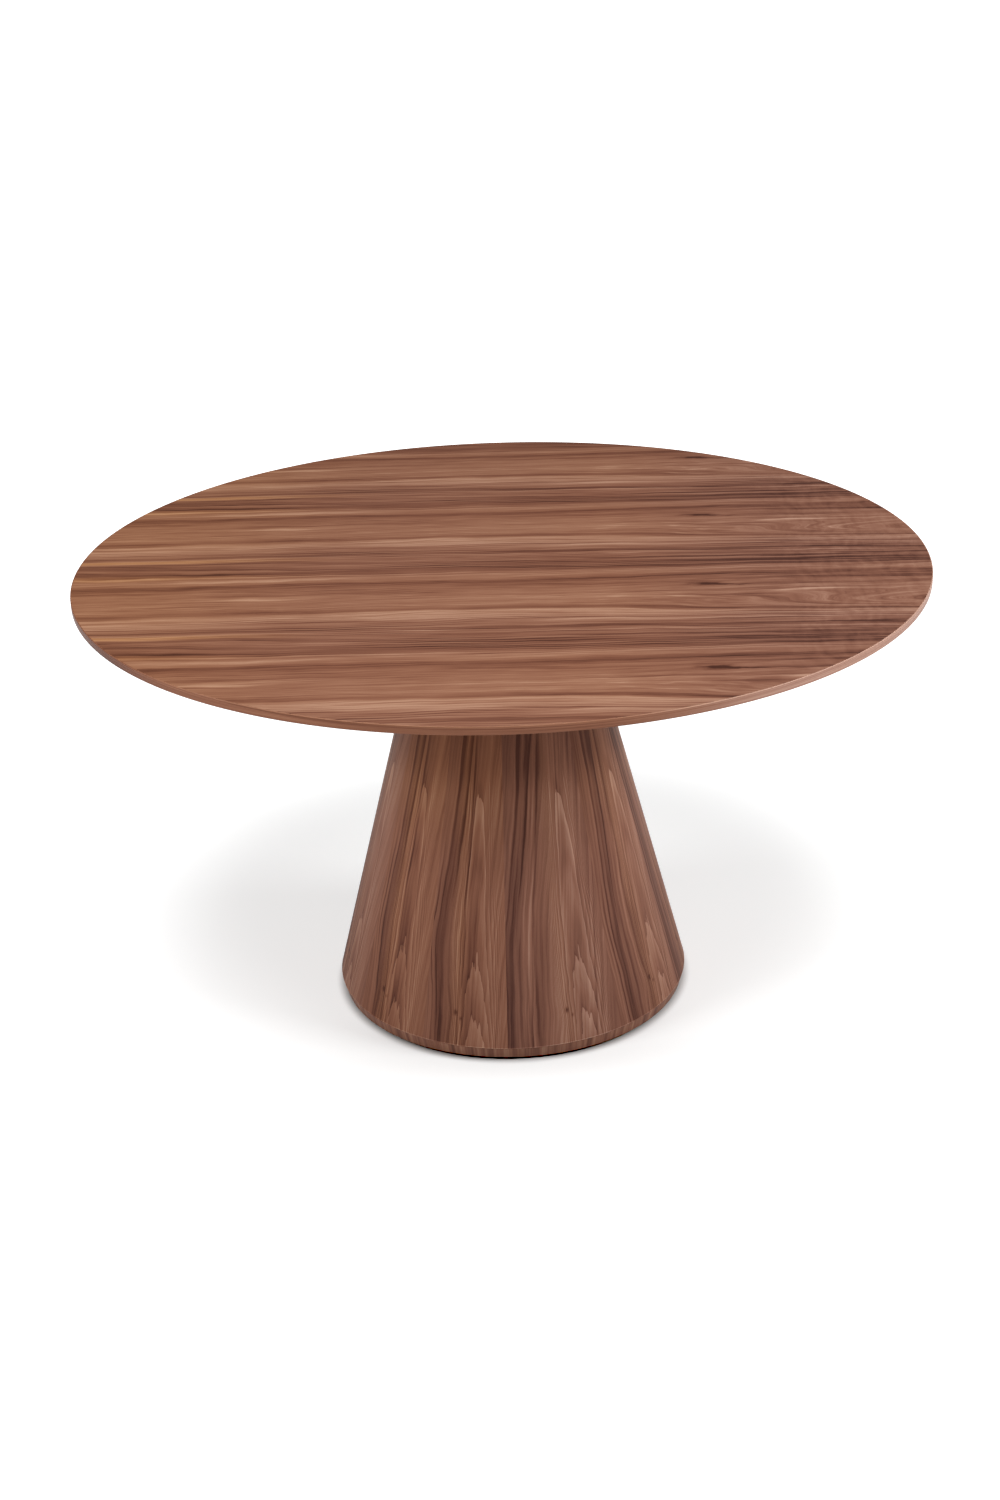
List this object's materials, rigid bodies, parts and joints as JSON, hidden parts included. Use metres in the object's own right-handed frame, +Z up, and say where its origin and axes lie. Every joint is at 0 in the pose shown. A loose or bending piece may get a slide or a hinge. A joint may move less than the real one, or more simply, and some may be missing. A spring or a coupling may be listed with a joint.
{
  "type": "pedestal dining table",
  "caption": "Round pedestal dining table with a thin bevelled walnut-veneered top bolted to a closed, veneered conical base on hidden levelling feet.",
  "frame": {"origin": "on the floor, on the axis of the base, with the levelling feet at rest", "axes": "+Z up along the axis of the top and cone; +X along the grain of the top; the front is -Y"},
  "size_m": [1.3718, 1.372, 0.762],
  "materials": {
    "walnut_face": "slip-matched walnut veneer, satin lacquer",
    "walnut_back": "plain walnut backing veneer, matt lacquer",
    "walnut_edge": "solid walnut lipping, satin lacquer",
    "walnut_cone": "slip-matched walnut veneer, upright grain, satin lacquer",
    "walnut_plinth": "walnut veneer strips, satin lacquer",
    "board": "raw fibreboard",
    "plywood": "bent plywood",
    "black_steel": "matt black powder coat",
    "zinc_steel": "bright zinc plate",
    "brass": "turned brass",
    "nylon": "moulded nylon"
  },
  "bodies": {
    "table": {"top_face_veneer": "walnut_face", "top_back_veneer": "walnut_back", "top_bevel_veneer": "walnut_back", "top_edge_band": "walnut_edge", "cone_veneer": "walnut_cone", "plinth_edge_band": "walnut_plinth", "top_core": "board", "head_disc": "board", "lower_former": "board", "upper_former": "board", "ribs": "board", "plinth_disc": "board", "shell_front": "plywood", "shell_back": "plywood", "mounting_plate": "black_steel", "ballast_plate": "black_steel", "top_bolts": "zinc_steel", "top_washers": "zinc_steel", "plate_screws": "zinc_steel", "head_screws": "zinc_steel", "plinth_screws": "zinc_steel", "ballast_screws": "zinc_steel", "leveller_nuts": "zinc_steel", "top_inserts": "brass"},
    "pad_front_left": {"leveller_pad_front_left": "nylon"},
    "screw_front_left": {"leveller_stem_front_left": "zinc_steel"},
    "pad_front_right": {"leveller_pad_front_right": "nylon"},
    "screw_front_right": {"leveller_stem_front_right": "zinc_steel"},
    "pad_back_right": {"leveller_pad_back_right": "nylon"},
    "screw_back_right": {"leveller_stem_back_right": "zinc_steel"},
    "pad_back_left": {"leveller_pad_back_left": "nylon"},
    "screw_back_left": {"leveller_stem_back_left": "zinc_steel"}
  },
  "joints": [
    {"name": "pad_front_left_height", "type": "slide", "parent": "table", "child": "pad_front_left", "axis": [0, 0, -1], "range_m": [-0.003, 0.012]},
    {"name": "screw_front_left_turn", "type": "hinge", "parent": "pad_front_left", "child": "screw_front_left", "pos_m": [-0.18526, -0.18526, 0.01], "axis": [0, 0, -1], "range_deg": [-865, 3457]},
    {"name": "pad_front_right_height", "type": "slide", "parent": "table", "child": "pad_front_right", "axis": [0, 0, -1], "range_m": [-0.003, 0.012]},
    {"name": "screw_front_right_turn", "type": "hinge", "parent": "pad_front_right", "child": "screw_front_right", "pos_m": [0.18526, -0.18526, 0.01], "axis": [0, 0, -1], "range_deg": [-865, 3457]},
    {"name": "pad_back_right_height", "type": "slide", "parent": "table", "child": "pad_back_right", "axis": [0, 0, -1], "range_m": [-0.003, 0.012]},
    {"name": "screw_back_right_turn", "type": "hinge", "parent": "pad_back_right", "child": "screw_back_right", "pos_m": [0.18526, 0.18526, 0.01], "axis": [0, 0, -1], "range_deg": [-865, 3457]},
    {"name": "pad_back_left_height", "type": "slide", "parent": "table", "child": "pad_back_left", "axis": [0, 0, -1], "range_m": [-0.003, 0.012]},
    {"name": "screw_back_left_turn", "type": "hinge", "parent": "pad_back_left", "child": "screw_back_left", "pos_m": [-0.18526, 0.18526, 0.01], "axis": [0, 0, -1], "range_deg": [-865, 3457]}
  ],
  "couplings": [
    {"joint": "screw_front_left_turn", "follows": "pad_front_left_height", "rad_per_m": 5026.5},
    {"joint": "screw_front_right_turn", "follows": "pad_front_right_height", "rad_per_m": 5026.5},
    {"joint": "screw_back_right_turn", "follows": "pad_back_right_height", "rad_per_m": 5026.5},
    {"joint": "screw_back_left_turn", "follows": "pad_back_left_height", "rad_per_m": 5026.5}
  ]
}
